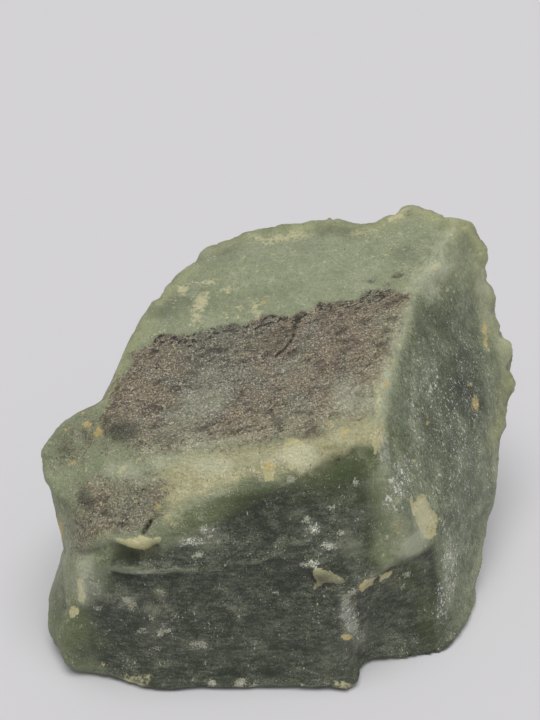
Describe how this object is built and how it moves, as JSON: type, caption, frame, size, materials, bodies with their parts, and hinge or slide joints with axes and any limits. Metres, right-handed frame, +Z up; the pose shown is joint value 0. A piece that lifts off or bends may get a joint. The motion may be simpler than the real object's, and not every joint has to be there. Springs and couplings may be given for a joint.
{
  "type": "raw aventurine",
  "caption": "Rough broken chunk of green aventurine quartz with a sloping weathered top seam, a steep side face and a flat broken underside it rests on.",
  "frame": {"origin": "bottom centre of the stone's bounding box, on the surface it rests on", "axes": "+Z up, +X along the stone's longest side towards the thin right-hand rim, -Y towards the broken front face"},
  "size_m": [0.1136, 0.092, 0.0748],
  "materials": {
    "aventurine": "rough broken green quartz, waxy to sugary, slightly translucent at thin edges, with a grey-brown weathered seam on top and pale dusty chips"
  },
  "bodies": {
    "root": {"aventurine_chunk": "aventurine"}
  },
  "joints": []
}
